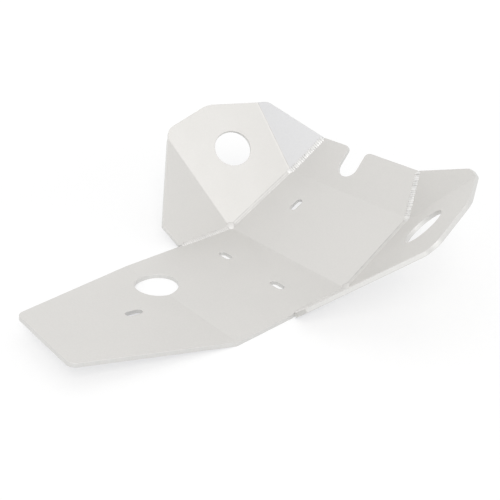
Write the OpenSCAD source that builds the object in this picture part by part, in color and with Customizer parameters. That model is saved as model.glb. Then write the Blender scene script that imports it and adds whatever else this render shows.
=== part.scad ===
// Skid plate for a motorcycle: one folded aluminium sheet with four welded corners.
// Millimetres. X points to the nose, Y to the left, Z up. The middle panel lies flat on Z = 0,
// and the origin is the middle of the plate's bounding box, on its underside.

/* [Sheet] */
// Thickness of the sheet
sheet_t = 4; // [2:0.5:6]
// Inside radius of the folds at the foot of each wing
foot_bend_r = 6.5; // [3:0.5:16]
// Inside radius of the three folds across the strip
cross_bend_r = 8; // [3:0.5:16]
// Inside radius of the two folds within each wing
wing_bend_r = 5; // [3:0.5:12]

/* [Middle panel] */
// Length of the middle panel between its two folds
middle_len = 131; // [110:1:180]
// Half width of the middle panel
middle_half_w = 81; // [70:0.5:110]
// Length of the seam between the middle panel and a wing, back from the front fold
rear_seam_len = 67; // [40:1:90]

/* [Tail] */
// Length of the tail from its fold to its end
tail_len = 128; // [80:1:180]
// Half width of the tail's end
tail_end_half_w = 42.5; // [25:0.5:75]
// Rise of the tail
tail_rise = 8.2; // [2:0.1:25]
// Rounding of the tail's two corners
tail_corner_r = 8; // [2:0.5:20]

/* [Centre panel] */
// Length of the centre panel between its two folds
centre_len = 97; // [80:1:130]
// Rise of the centre panel
centre_rise = 27; // [15:0.5:35]
// Half width of the centre panel at its front fold
centre_front_half_w = 80; // [70:0.5:110]

/* [Nose] */
// Length of the nose from its fold to its edge
nose_len = 48.6; // [40:0.2:70]
// Rise of the nose
nose_rise = 48.4; // [40:0.2:60]
// Half width of the nose's edge
nose_end_half_w = 63; // [50:0.5:80]

/* [Wings] */
// Tilt of a wing against the centre panel
wing_tilt = 42.4; // [30:0.2:60]
// Direction of the rear fold, from the wing's foot
rear_fold_dir = 79.8; // [70:0.2:90]
// Length of the rear fold
rear_fold_len = 115.6; // [80:0.1:140]
// Direction of the front fold, from the wing's foot
front_fold_dir = 69.5; // [60:0.1:80]
// Length of the front fold
front_fold_len = 85; // [60:0.5:100]
// Wing's rear upper corner, along the foot from the front fold of the middle panel
rear_corner_along = 27.8; // [22:0.2:40]
// Wing's rear upper corner, up from the foot
rear_corner_up = 124.4; // [90:0.2:150]
// Rounding of the wing's rear upper corner
rear_corner_r = 14; // [3:0.5:16]
// Wing's middle upper corner, along the foot
top_corner_along = 81.2; // [60:0.2:100]
// Wing's middle upper corner, up from the foot
top_corner_up = 116.7; // [95:0.1:140]
// Rounding of the wing's middle upper corner
top_corner_r = 30; // [5:1:40]
// Wing's front corner, along the front seam from its foot
tip_along = 31.6; // [15:0.2:45]
// Wing's front corner, square to the front seam
tip_up = 74.5; // [50:0.5:90]
// Rounding of the wing's front corner
tip_corner_r = 16; // [2:0.5:24]
// Kink in the wing's rear edge, behind the start of the rear seam
kink_back = 6; // [0:0.1:12]
// Kink in the wing's rear edge, up from the rear seam
kink_up = 26.2; // [12:0.1:50]

// Relief at each end of the fold at the wing's foot
corner_relief = 1; // [0.5:0.1:4]

/* [Holes] */
// Diameter of the round hole in each wing
wing_hole_d = 40; // [15:1:60]
// Wing hole, along the foot
wing_hole_along = 66.7; // [50:0.1:80]
// Wing hole, up from the foot
wing_hole_up = 61.7; // [45:0.1:80]
// Diameter of the drain hole on the tail's fold
drain_d = 40; // [15:1:60]
// Drain hole, forward of the tail's fold
drain_forward = 1.4; // [-15:0.1:15]
// Drain hole, to the left of the centre line
drain_left = 33; // [0:0.5:45]

/* [Slots] */
// Length of each bolt slot, end to end
slot_len = 16; // [10:0.5:22]
// Width of each bolt slot
slot_w = 7.5; // [5:0.5:9]
// Tail slot, behind the tail's fold
tail_slot_back = 45; // [25:0.5:100]
// Pair of slots in the middle panel, behind its front fold
pair_back = 44; // [20:0.5:80]
// Pair of slots, half their spacing
pair_half_space = 36.8; // [20:0.1:55]
// Centre panel's slot, ahead of its rear fold
centre_slot_ahead = 60; // [25:0.5:75]
// Centre panel's slot, to the left of the centre line
centre_slot_left = 37.4; // [0:0.1:55]

/* [Notch in the nose] */
// Width of the notch
notch_w = 23; // [10:0.5:36]
// Depth of the notch from the nose's edge
notch_depth = 32.5; // [20:0.5:38]
// Notch, to the left of the centre line
notch_left = 14; // [-20:0.5:20]
// Rounding of the notch's two lips
notch_lip_r = 5.5; // [1:0.5:8]

/* [Welds] */
// Reach of a weld bead over each face beside its corner
weld_leg = 4; // [2.5:0.1:5]
// Rise of a bead's crown over the straight line between its toes
weld_crown = 0.5; // [0.2:0.1:1]
// Depth of a bead's root under the inner corner, no deeper than the sheet
weld_root = 2.4; // [1:0.1:3]
// Run of a bead past the inner end of its seam
weld_lap = 2; // [0:0.5:4]
// Width of the pool of weld over the relief at a seam's inner end
pool_d = 9.5; // [6:0.5:14]
// Height of the pool over the relief
pool_h = 1.1; // [0.5:0.1:2]
// Bare length of a front seam at its outer end
front_weld_short = 1; // [0.5:0.5:10]
// Bare length of a rear seam at its outer end
rear_weld_short = 1.5; // [1:0.5:10]
// Clearance left between the sheet's edges along a seam
seam_gap = 0.8; // [0.4:0.1:1.5]

/* [Hidden] */
$fn = 96;
alloy = [0.85, 0.85, 0.83];
bead = [0.8, 0.8, 0.79];
// Flat steps in each fold, in each rounded corner, across each bead and around each pool of weld
fold_steps = 6;
round_steps = 8;
bead_steps = 8;
pool_steps = 16;

// Vector helpers
function unit(v) = v / norm(v);
function between(a, b, k) = a + (b - a) * k;
function left_of(v) = [-v.y, v.x];
function angle_between(a, b) = acos(min(1, a * b));
function stand(o, ex, ez) =
    let (ey = cross(ez, ex))
    [[ex.x, ey.x, ez.x, o.x], [ex.y, ey.y, ez.y, o.y], [ex.z, ey.z, ez.z, o.z], [0, 0, 0, 1]];
function right(p) = [p.x, -p.y, p.z];

// Length that a fold takes from each face beside it, measured on the inner surface
function setback(r, angle) = r * tan(angle / 2);

// A face's corners after its edges have been moved inwards, one move for each edge
function edge_dir(q, i) = unit(q[(i + 1) % len(q)] - q[i]);
function moved_corner(q, moves, i) =
    let (j = (i + len(q) - 1) % len(q), a = left_of(edge_dir(q, j)), b = left_of(edge_dir(q, i)),
         ca = q[i] * a + moves[j], cb = q[i] * b + moves[i], det = a.x * b.y - a.y * b.x)
    [(ca * b.y - cb * a.y) / det, (cb * a.x - ca * b.x) / det];
function moved_edges(points, n, moves) =
    let (ex = unit(points[1] - points[0]), ey = cross(n, ex),
         q = [for (p = points) [(p - points[0]) * ex, (p - points[0]) * ey]])
    [for (i = [0 : len(q) - 1]) let (c = moved_corner(q, moves, i)) points[0] + ex * c.x + ey * c.y];

// Where a fold of a wing, run on below its foot, meets the plane of a panel of the strip
function fold_foot(low, top, on_panel, n) =
    let (run = unit(top - low)) low - run * (((low - on_panel) * n) / (run * n));
// Lower end of a wing's fold on the face beside it, above the face's own lower corner
function fold_start(corner, low, top) =
    let (run = unit(top - low)) corner + run * max((low - corner) * run, corner_relief);

// Corners with their roundings, each with a mark: 1 where the edge after it is a free edge of the sheet
function round_corner(p, before, after, r, open) =
    let (a = unit(before - p), b = unit(after - p), half = acos(a * b) / 2,
         centre = p + unit(a + b) * r / sin(half), turn = acos(-(a * b)),
         from = p + a * r / tan(half) - centre, to = p + b * r / tan(half) - centre,
         steps = round(round_steps))
    [for (k = [0 : steps])
        [centre + (from * sin(turn * (1 - k / steps)) + to * sin(turn * k / steps)) / sin(turn),
         k < steps ? 1 : open]];
function marked(points, radii, open) = [for (i = [0 : len(points) - 1]) each
    radii[i] == 0 ? [[points[i], open[i]]]
        : round_corner(points[i], points[(i + len(points) - 1) % len(points)],
                       points[(i + 1) % len(points)], radii[i], open[i])];

// A cell of the sheet: pairs of inner and outer points, anticlockwise seen from inside, and the marks
function face_cell(marks, n) = [[for (m = marks) [m[0], m[0] - n * sheet_t]], [for (m = marks) m[1]]];
function mirrored(cell) = let (count = len(cell[0])) [
    [for (i = [1 : count]) [for (p = cell[0][count - i]) right(p)]],
    [for (i = [1 : count]) cell[1][(2 * count - 1 - i) % count]]];

// The cells of a fold along a to b. The face behind it has normal n1 and ends at a1, b1, and
// the face ahead of it has normal n2 and ends at a2, b2.
function fold_line(a, b, n, a1, b1, a2, b2, k, centre, r) =
    k == 0 ? [[a1, a1 - n * sheet_t], [b1, b1 - n * sheet_t]]
    : k == 1 ? [[a2, a2 - n * sheet_t], [b2, b2 - n * sheet_t]]
    : let (d = unit(b - a), from = (between(a1, a2, k) - centre) * d, to = (between(b1, b2, k) - centre) * d)
      [for (along = [from, to]) [centre + d * along - n * r, centre + d * along - n * (r + sheet_t)]];
function fold_cells(a, b, n1, n2, r, a1, b1, a2, b2) =
    let (d = unit(b - a), away = cross(n1, d), angle = angle_between(n1, n2),
         centre = a + away * setback(r, angle) + n1 * r, steps = round(fold_steps),
         lines = [for (i = [0 : steps]) let (k = i / steps,
                  n = k == 1 ? n2 : n1 * cos(angle * k) + away * sin(angle * k))
                  fold_line(a, b, n, a1, b1, a2, b2, k, centre, r)])
    [for (i = [1 : steps]) [[lines[i][0], lines[i][1], lines[i - 1][1], lines[i - 1][0]], [0, 1, 0, 1]]];

// The solid that a list of cells encloses
module solid_of(cells) {
    starts = [for (i = 0, at = 0; i < len(cells); at = at + 2 * len(cells[i][0]), i = i + 1) at];
    polyhedron(
        points = [for (cell = cells) for (pair = cell[0]) each pair],
        faces = [for (i = [0 : len(cells) - 1]) let (at = starts[i], count = len(cells[i][0])) each [
            [for (j = [1 : count]) at + 2 * (count - j)],
            [for (j = [0 : count - 1]) at + 2 * j + 1],
            each [for (j = [0 : count - 1]) if (cells[i][1][j] > 0) let (next = (j + 1) % count)
                [at + 2 * j, at + 2 * next, at + 2 * next + 1, at + 2 * j + 1]]]]);
}

// The sliver outside the rounding of a corner, given the directions away from the corner
module corner_sliver(corner, away_a, away_b, r) {
    half = acos(away_a * away_b) / 2;
    centre = corner + unit(away_a + away_b) * r / sin(half);
    difference() {
        polygon([corner, corner + away_a * r / tan(half), centre, corner + away_b * r / tan(half)]);
        translate(centre) circle(r);
    }
}

// Points of the strip, left side, on the inner surface
tail_fold = [-middle_len, middle_half_w, 0];
tail_end = [-middle_len - tail_len * cos(tail_rise), tail_end_half_w, tail_len * sin(tail_rise)];
front_fold = [0, middle_half_w, 0];
nose_fold = [centre_len * cos(centre_rise), centre_front_half_w, centre_len * sin(centre_rise)];
nose_end = [nose_fold.x + nose_len * cos(nose_rise), nose_end_half_w,
            nose_fold.z + nose_len * sin(nose_rise)];
seam_start = [-rear_seam_len, middle_half_w, 0];
tail_n = [sin(tail_rise), 0, cos(tail_rise)];
middle_n = [0, 0, 1];
centre_n = [-sin(centre_rise), 0, cos(centre_rise)];
nose_n = [-sin(nose_rise), 0, cos(nose_rise)];

// The left wing: its foot runs along the centre panel's side
foot = unit(nose_fold - front_fold);
foot_len = norm(nose_fold - front_fold);
outward = cross(centre_n, foot);
wing_up = outward * cos(wing_tilt) + centre_n * sin(wing_tilt);
wing_n = cross(foot, wing_up);
foot_setback = setback(foot_bend_r, wing_tilt);
function on_wing(along, up) = front_fold + foot * along + wing_up * up;
rear_foot = on_wing(0, foot_setback);
front_foot = on_wing(foot_len, foot_setback);
rear_top = rear_foot + rear_fold_len * (foot * cos(rear_fold_dir) + wing_up * sin(rear_fold_dir));
front_top = front_foot + front_fold_len * (foot * cos(front_fold_dir) + wing_up * sin(front_fold_dir));
rear_corner = on_wing(rear_corner_along, rear_corner_up);
top_corner = on_wing(top_corner_along, top_corner_up);
// The rear face closes on the middle panel's edge, and the front face on the nose's
rear_n = unit(cross(rear_foot - seam_start, rear_top - seam_start));
front_n = unit(cross(nose_end - front_foot, front_top - front_foot));
rear_seam = unit(rear_foot - seam_start);
front_seam = unit(nose_end - front_foot);
kink = seam_start - rear_seam * kink_back + cross(rear_n, rear_seam) * kink_up;
tip = front_foot + front_seam * tip_along + cross(front_n, front_seam) * tip_up;

tail_setback = setback(cross_bend_r, tail_rise);
middle_setback = setback(cross_bend_r, centre_rise);
nose_setback = setback(cross_bend_r, nose_rise - centre_rise);
rear_setback = setback(wing_bend_r, angle_between(rear_n, wing_n));
front_setback = setback(wing_bend_r, angle_between(wing_n, front_n));

// The origin: the middle of the plate's length, on the underside of the middle panel
rear_most = tail_end.x - sheet_t * tail_n.x;
front_most = nose_end.x - sheet_t * nose_n.x;
to_origin = [-(rear_most + front_most) / 2, 0, sheet_t];

// Corners of the faces, on the inner surface
tail_points = moved_edges([tail_end, right(tail_end), right(tail_fold), tail_fold], tail_n,
                          [0, 0, tail_setback, 0]);
middle_points = moved_edges([tail_fold, right(tail_fold), right(front_fold), front_fold], middle_n,
                            [tail_setback, 0, middle_setback, 0]);
inner_rear = front_fold - outward * foot_setback;
inner_front = nose_fold - outward * foot_setback;
centre_points = moved_edges([inner_rear, right(inner_rear), right(inner_front), inner_front], centre_n,
                            [middle_setback, 0, nose_setback, 0]);
nose_points = moved_edges([nose_fold, right(nose_fold), right(nose_end), nose_end], nose_n,
                          [nose_setback, seam_gap, 0, seam_gap]);
wing_points = moved_edges([rear_foot, front_foot, front_top, top_corner, rear_corner, rear_top], wing_n,
                          [0, front_setback, 0, 0, 0, rear_setback]);
// The end faces of a wing reach down past their folds, to the plane of the panel that they close on
front_edges = moved_edges([fold_foot(front_foot, front_top, nose_end, nose_n), nose_end, tip, front_top],
                          front_n, [seam_gap, 0, 0, front_setback]);
front_points = [each front_edges, fold_start(front_edges[0], front_foot, front_top)];
rear_edges = moved_edges([seam_start, fold_foot(rear_foot, rear_top, seam_start, middle_n), rear_top, kink],
                         rear_n, [seam_gap, rear_setback, 0, 0]);
rear_points = [rear_edges[0], rear_edges[1], fold_start(rear_edges[1], rear_foot, rear_top),
               rear_edges[2], rear_edges[3]];

// Ends of the fold at the wing's foot, short of the corners by the relief
foot_rear = max((centre_points[0] - front_fold) * foot, (wing_points[0] - front_fold) * foot) + corner_relief;
foot_front = min((centre_points[3] - front_fold) * foot, (wing_points[1] - front_fold) * foot)
    - corner_relief;
wing_side = [on_wing(foot_rear, foot_setback), on_wing(foot_front, foot_setback)];
centre_side = [for (along = [foot_rear, foot_front]) front_fold + foot * along - outward * foot_setback];

strip_cells = [
    face_cell(marked(tail_points, [tail_corner_r, tail_corner_r, 0, 0], [1, 1, 0, 1]), tail_n),
    face_cell(marked(middle_points, [0, 0, 0, 0], [0, 1, 0, 1]), middle_n),
    face_cell(marked([centre_points[0], centre_points[1], right(centre_side[0]), right(centre_side[1]),
                      centre_points[2], centre_points[3], centre_side[1], centre_side[0]],
                     [0, 0, 0, 0, 0, 0, 0, 0], [0, 1, 0, 1, 0, 1, 0, 1]), centre_n),
    face_cell(marked(nose_points, [0, 0, 0, 0], [0, 1, 1, 1]), nose_n),
    each fold_cells(right(tail_fold), tail_fold, tail_n, middle_n, cross_bend_r,
                    tail_points[2], tail_points[3], middle_points[1], middle_points[0]),
    each fold_cells(right(front_fold), front_fold, middle_n, centre_n, cross_bend_r,
                    middle_points[2], middle_points[3], centre_points[1], centre_points[0]),
    each fold_cells(right(nose_fold), nose_fold, centre_n, nose_n, cross_bend_r,
                    centre_points[2], centre_points[3], nose_points[1], nose_points[0])];

wing_cells = [
    face_cell(marked([wing_points[0], wing_side[0], wing_side[1], for (i = [1 : 5]) wing_points[i]],
                     [0, 0, 0, 0, 0, top_corner_r, rear_corner_r, 0], [1, 0, 1, 0, 1, 1, 1, 0]), wing_n),
    face_cell(marked(front_points, [0, 0, tip_corner_r, 0, 0], [1, 1, 1, 0, 1]), front_n),
    face_cell(marked(rear_points, [0, 0, 0, 0, 0], [1, 1, 0, 1, 1]), rear_n),
    each fold_cells(front_fold, nose_fold, wing_n, centre_n, foot_bend_r,
                    wing_side[0], wing_side[1], centre_side[0], centre_side[1]),
    each fold_cells(rear_foot, rear_top, rear_n, wing_n, wing_bend_r,
                    rear_points[2], rear_points[3], wing_points[0], wing_points[5]),
    each fold_cells(front_foot, front_top, wing_n, front_n, wing_bend_r,
                    wing_points[1], wing_points[2], front_points[4], front_points[3])];

// A slot cut square to a face: p on the face, its length along d
module slot_cut(p, d, n) {
    multmatrix(stand(p, d, n)) translate([0, 0, -2 * sheet_t]) {
        for (side = [-1, 1]) translate([side * (slot_len - slot_w) / 2, 0, 0])
            cylinder(h = 4 * sheet_t, r = slot_w / 2);
        translate([-(slot_len - slot_w) / 2, -slot_w / 2, 0])
            cube([slot_len - slot_w, slot_w, 4 * sheet_t]);
    }
}

// The notch, drawn in the nose's plane with its mouth along the edge
module notch_cut() {
    up = (nose_end - nose_fold) - [0, nose_end.y - nose_fold.y, 0];
    multmatrix(stand([nose_end.x, notch_left, nose_end.z], unit(up), nose_n))
        translate([0, 0, -2 * sheet_t]) linear_extrude(4 * sheet_t) {
            translate([-notch_depth + notch_w / 2, 0]) circle(notch_w / 2);
            translate([-notch_depth + notch_w / 2, -notch_w / 2])
                square([notch_depth - notch_w / 2 + notch_lip_r, notch_w]);
            for (side = [-1, 1])
                corner_sliver([0, side * notch_w / 2], [-1, 0], [0, side], notch_lip_r);
        }
}

module round_cut(p, n, d) {
    multmatrix(stand(p, unit(cross([0, 1, 0], n)), n))
        cylinder(h = 8 * sheet_t, r = d / 2, center = true);
}

// The clearance along the rear seam, in the middle panel's edge
module seam_cut() {
    translate([-rear_seam_len, middle_half_w - seam_gap, -2 * sheet_t])
        cube([rear_seam_len + middle_setback, 1.5 * seam_gap, 4 * sheet_t]);
}

module sheet() {
    wing_hole = on_wing(wing_hole_along, wing_hole_up);
    translate(to_origin) difference() {
        solid_of([each strip_cells, each wing_cells, each [for (cell = wing_cells) mirrored(cell)]]);
        round_cut(wing_hole, wing_n, wing_hole_d);
        round_cut(right(wing_hole), right(wing_n), wing_hole_d);
        round_cut([drain_forward - middle_len, drain_left, 0], middle_n, drain_d);
        slot_cut([-middle_len - tail_slot_back * cos(tail_rise), 0, tail_slot_back * sin(tail_rise)],
                 [-cos(tail_rise), 0, sin(tail_rise)], tail_n);
        for (side = [-1, 1]) slot_cut([-pair_back, side * pair_half_space, 0], [0, 1, 0], middle_n);
        slot_cut([0, centre_slot_left, 0] + centre_slot_ahead * [cos(centre_rise), 0, sin(centre_rise)],
                 [cos(centre_rise), 0, sin(centre_rise)], centre_n);
        notch_cut();
        seam_cut();
        mirror([0, 1, 0]) seam_cut();
    }
}

// A bead's section: a low fillet between two faces, with its root in the clearance and Y out of
// the corner
module weld_section(half) {
    toe = weld_leg * [sin(half), cos(half)];
    r = (toe.x * toe.x + weld_crown * weld_crown) / (2 * weld_crown);
    side = min(toe.x + seam_gap, r);
    steps = round(bead_steps);
    polygon([[0, -min(weld_root, sheet_t)],
             for (k = [0 : steps]) let (x = side * (1 - 2 * k / steps))
                 [x, toe.y + weld_crown - r + sqrt(r * r - x * x)]]);
}

// The pool over a relief, with four points around it
module pool(ring) {
    spot = (ring[0] + ring[1] + ring[2] + ring[3]) / 4;
    n = unit(cross(ring[2] - ring[0], ring[3] - ring[1]));
    steps = round(pool_steps);
    levels = [[pool_d / 4, -2 * pool_h], [pool_d / 2, -pool_h / 2], [pool_d / 3, pool_h / 2],
              [pool_d / 6, pool_h]];
    multmatrix(stand(spot, unit(ring[2] - ring[0]), n)) polyhedron(
        points = [for (level = levels, i = [0 : steps - 1]) let (a = 360 * i / steps)
            [level[0] * cos(a), level[0] * sin(a), level[1]]],
        faces = [[for (i = [0 : steps - 1]) i], [for (i = [1 : steps]) len(levels) * steps - i],
            for (k = [1 : len(levels) - 1], i = [0 : steps - 1]) let (j = (i + 1) % steps)
                [(k - 1) * steps + i, k * steps + i, k * steps + j, (k - 1) * steps + j]]);
}

// A bead in the corner of two faces, from the seam's outer end to the pool at its inner end, cut
// back where it lies against the sheet
module weld(outer, inner, n1, n2, bare, ring) {
    line = unit(cross(n1, n2));
    along = line * (inner - outer) > 0 ? line : -line;
    difference() {
        translate(to_origin) {
            multmatrix(stand(outer + along * bare, cross(unit(n1 + n2), along), along))
                linear_extrude(along * (inner - outer) + weld_lap - bare)
                    weld_section(acos(-(n1 * n2)) / 2);
            pool(ring);
        }
        sheet();
    }
}

module skid_plate() { color(alloy) sheet(); }

module weld_front_left() {
    color(bead) weld(nose_end, between(front_foot, nose_fold, 0.5), nose_n, front_n, front_weld_short,
                     [wing_side[1], centre_side[1], nose_points[0], front_points[4]]);
}

module weld_front_right() { mirror([0, 1, 0]) weld_front_left(); }

module weld_rear_left() {
    color(bead) weld(seam_start, between(rear_foot, front_fold, 0.5), middle_n, rear_n, rear_weld_short,
                     [wing_side[0], centre_side[0], middle_points[3], rear_points[2]]);
}

module weld_rear_right() { mirror([0, 1, 0]) weld_rear_left(); }

skid_plate();
weld_front_left();
weld_front_right();
weld_rear_left();
weld_rear_right();
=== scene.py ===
import logging
import math
from dataclasses import dataclass, field
from enum import Enum

import bmesh
import bpy
import numpy as np
from mathutils import Matrix, Vector


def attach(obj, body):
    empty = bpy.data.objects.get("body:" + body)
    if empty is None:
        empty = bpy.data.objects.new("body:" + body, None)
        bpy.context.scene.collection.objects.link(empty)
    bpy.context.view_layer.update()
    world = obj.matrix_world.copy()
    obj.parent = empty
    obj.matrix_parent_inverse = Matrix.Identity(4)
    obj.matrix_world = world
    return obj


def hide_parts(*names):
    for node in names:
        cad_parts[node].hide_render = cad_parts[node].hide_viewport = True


"""A motorcycle skid plate: one folded aluminium sheet with four welded corners.

Metres, in the frame of the CAD model. The sheet is drawn in millimetres with the front fold of its
middle panel at X = 0 and its upper face at Z = 0, and is then moved to the frame's origin.
"""

LOG = logging.getLogger("skid_plate")
MM = 0.001
UP = np.array([0.0, 0.0, 1.0])

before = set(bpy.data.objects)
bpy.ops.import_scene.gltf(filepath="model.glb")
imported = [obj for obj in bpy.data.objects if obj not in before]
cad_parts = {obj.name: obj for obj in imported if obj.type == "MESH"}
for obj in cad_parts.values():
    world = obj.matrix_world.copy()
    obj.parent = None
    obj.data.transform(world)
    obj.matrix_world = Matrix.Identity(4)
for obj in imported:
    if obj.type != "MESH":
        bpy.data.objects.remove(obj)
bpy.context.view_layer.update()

Point = np.ndarray
Triple = tuple[float, float, float]
Tree = bpy.types.NodeTree
Socket = bpy.types.NodeSocket


class Side(Enum):
    """The two sides of the plate, as the sign of Y."""

    LEFT = 1
    RIGHT = -1


class Corner(Enum):
    """The two welded corners on each side."""

    FRONT = "front"
    REAR = "rear"


class Finish(Enum):
    """The finishes and painted tones on the sheet, as material slots."""

    ROLLED = 0
    CUT = 1
    # The next three are painted tones along folds: a painted shade strip, a painted highlight
    # strip, and a painted shade strip in the front wing fold.
    PRESSED = 2
    RUBBED = 3
    PAINTED_CREASE_SHADE = 4
    # A cooler, darker and more mottled tone, for the left front facet only.
    COOLER_TONE = 5

    def across(self) -> "Finish":
        """Return the finish of the matching place on the right side.

        The painted shade and painted highlight along the foot folds swap sides, and the painted
        shade in the front wing fold and the cooler tone of the front facet are on the left only.
        """
        return {
            Finish.PRESSED: Finish.RUBBED,
            Finish.RUBBED: Finish.PRESSED,
            Finish.PAINTED_CREASE_SHADE: Finish.ROLLED,
            Finish.COOLER_TONE: Finish.ROLLED,
        }.get(self, self)


def unit(v: Point) -> Point:
    """Return the vector at length one."""
    return v / np.linalg.norm(v)


def between(a: Point, b: Point, k: float) -> Point:
    """Return the point a share k of the way from a to b."""
    return a + (b - a) * k


def right_of(p: Point) -> Point:
    """Return the point's mirror image on the right side."""
    return np.array([p[0], -p[1], p[2]])


def sind(angle: float) -> float:
    """Return the sine of an angle in degrees."""
    return math.sin(math.radians(angle))


def cosd(angle: float) -> float:
    """Return the cosine of an angle in degrees."""
    return math.cos(math.radians(angle))


def angle_between(a: Point, b: Point) -> float:
    """Return the angle between two unit vectors in degrees."""
    return math.degrees(math.acos(min(1.0, float(a @ b))))


def setback(radius: float, angle: float) -> float:
    """Return the length that a fold takes from each face beside it, on the inner surface."""
    return radius * math.tan(math.radians(angle) / 2)


def stand(origin: Point, along: Point, normal: Point) -> np.ndarray:
    """Make a 4 by 4 matrix that stands a drawing on a face.

    Args:
        origin: Where the drawing's origin goes.
        along: Unit direction of the drawing's X.
        normal: Unit direction of the drawing's Z.

    Returns:
        The matrix, in millimetres.
    """
    place = np.eye(4)
    place[:3, 0], place[:3, 1] = along, np.cross(normal, along)
    place[:3, 2], place[:3, 3] = normal, origin
    return place


def arc(centre: Point, radius: float, start: float, end: float, steps: int) -> list[Point]:
    """Draw an arc in a plane.

    Args:
        centre: Centre of the arc, two numbers.
        radius: Its radius.
        start: Angle of its first point in degrees.
        end: Angle of its last point in degrees.
        steps: Number of straight steps.

    Returns:
        The points, ends included.
    """
    return [
        np.array([centre[0] + radius * cosd(a), centre[1] + radius * sind(a)])
        for a in np.linspace(start, end, steps + 1)
    ]


def moved_edges(points: list[Point], normal: Point, moves: list[float]) -> list[Point]:
    """Move each edge of a flat outline inwards.

    Args:
        points: Corners, anticlockwise seen from the tip of the normal.
        normal: Unit normal of the outline's plane.
        moves: How far each edge moves, the first from the first corner to the second.

    Returns:
        The corners where the moved edges meet.
    """
    across = unit(points[1] - points[0])
    up = np.cross(normal, across)
    flat = [np.array([(p - points[0]) @ across, (p - points[0]) @ up]) for p in points]
    count = len(flat)
    result = []
    for i in range(count):
        rows, sums = [], []
        for j in ((i - 1) % count, i):
            edge = unit(flat[(j + 1) % count] - flat[j])
            inwards = np.array([-edge[1], edge[0]])
            rows.append(inwards)
            sums.append(flat[i] @ inwards + moves[j])
        corner = np.linalg.solve(np.array(rows), np.array(sums))
        result.append(points[0] + across * corner[0] + up * corner[1])
    return result


def add_node(tree: Tree, kind: str, inputs: dict | None = None, **settings) -> bpy.types.Node:
    """Add a node to a tree.

    Args:
        tree: The tree that gets the node.
        kind: The node's type.
        inputs: A value or a socket for each named or numbered input.
        settings: The node's own properties.

    Returns:
        The node.
    """
    node = tree.nodes.new(kind)
    for name, value in settings.items():
        setattr(node, name, value)
    for key, value in (inputs or {}).items():
        if isinstance(value, Socket):
            tree.links.new(value, node.inputs[key])
        else:
            node.inputs[key].default_value = value
    return node


@dataclass
class Cell:
    """A piece of the sheet between fold lines.

    Attributes:
        inner: Corners on the inner surface, anticlockwise seen from inside.
        outer: The matching corners on the outer surface.
        free: Whether the edge after each corner is a free edge of the sheet.
        finish: Finish of the inner face.
    """

    inner: list[Point]
    outer: list[Point]
    free: list[bool]
    finish: Finish = Finish.ROLLED

    def mirrored(self) -> "Cell":
        """Return the cell's mirror image on the right side."""
        count = len(self.free)
        return Cell(
            [right_of(p) for p in reversed(self.inner)],
            [right_of(p) for p in reversed(self.outer)],
            [self.free[(count - 2 - i) % count] for i in range(count)],
            self.finish.across(),
        )


@dataclass(frozen=True)
class Grain:
    """Fine marks of one kind on a metal surface.

    Attributes:
        scale: Repeats in each metre along X, Y and Z.
        detail: Octaves of the noise.
        tone: How far the marks move the colour, as a share.
        roughness: How far the marks move the roughness.
    """

    scale: Triple
    detail: float
    tone: float
    roughness: float


@dataclass(frozen=True)
class MetalFinish:
    """A bare metal finish, with marks on Object coordinates.

    Attributes:
        name: Name of the material.
        colour: Linear colour of the clean metal.
        roughness: Middle value of the roughness.
        grains: The marks that vary colour and roughness.
        bump_scale: Repeats of the bumps in each metre.
        bump: Height of the bumps in metres.
        bump_detail: Octaves of the bumps.
        noise_span: The noise values between which a mark goes from one end to the other.
    """

    name: str
    colour: Triple
    roughness: float
    grains: tuple[Grain, ...]
    bump_scale: Triple
    bump: float
    bump_detail: float = 3.0
    noise_span: tuple[float, float] = (0.3, 0.7)

    def noise(self, tree: Tree, scale: Triple, detail: float) -> Socket:
        """Add a noise on Object coordinates.

        Args:
            tree: The material's node tree.
            scale: Repeats in each metre along X, Y and Z.
            detail: Octaves of the noise.

        Returns:
            The socket with the noise, from 0 to 1.
        """
        place = add_node(tree, "ShaderNodeTexCoord")
        mapping = add_node(tree, "ShaderNodeMapping",
                           {"Vector": place.outputs["Object"], "Scale": scale})
        texture = add_node(tree, "ShaderNodeTexNoise",
                           {"Vector": mapping.outputs["Vector"], "Scale": 1.0, "Detail": detail})
        return texture.outputs["Fac"]

    def spread(self, tree: Tree, value: Socket, amount: float, middle: float) -> Socket:
        """Turn a noise into a number around a middle value.

        Args:
            tree: The material's node tree.
            value: The noise, from 0 to 1.
            amount: How far the number moves each way.
            middle: The middle value.

        Returns:
            The socket with the number.
        """
        low, high = self.noise_span
        return add_node(tree, "ShaderNodeMapRange", {
            "Value": value, "From Min": low, "From Max": high,
            "To Min": middle - amount, "To Max": middle + amount,
        }).outputs["Result"]

    def material(self) -> bpy.types.Material:
        """Build the material.

        Returns:
            The material.
        """
        material = bpy.data.materials.new(self.name)
        material.use_nodes = True
        tree = material.node_tree
        shader = next(n for n in tree.nodes if n.type == "BSDF_PRINCIPLED")
        shader.inputs["Metallic"].default_value = 1.0
        tone = rough = None
        for grain in self.grains:
            noise = self.noise(tree, grain.scale, grain.detail)
            one = self.spread(tree, noise, grain.tone, 1.0)
            two = self.spread(tree, noise, grain.roughness, 0.0)
            if tone is not None:
                one = add_node(tree, "ShaderNodeMath",
                               {0: tone, 1: one}, operation="MULTIPLY").outputs[0]
                two = add_node(tree, "ShaderNodeMath", {0: rough, 1: two}).outputs[0]
            tone, rough = one, two
        colour = add_node(tree, "ShaderNodeMix", {
            "Factor": 1.0, "A": (*self.colour, 1.0), "B": tone,
        }, data_type="RGBA", blend_type="MULTIPLY")
        tree.links.new(colour.outputs["Result"], shader.inputs["Base Color"])
        base = add_node(tree, "ShaderNodeMath", {0: rough, 1: self.roughness})
        tree.links.new(base.outputs[0], shader.inputs["Roughness"])
        bumps = self.noise(tree, self.bump_scale, self.bump_detail)
        bump = add_node(tree, "ShaderNodeBump", {"Height": bumps, "Distance": self.bump})
        tree.links.new(bump.outputs["Normal"], shader.inputs["Normal"])
        return material


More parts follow.
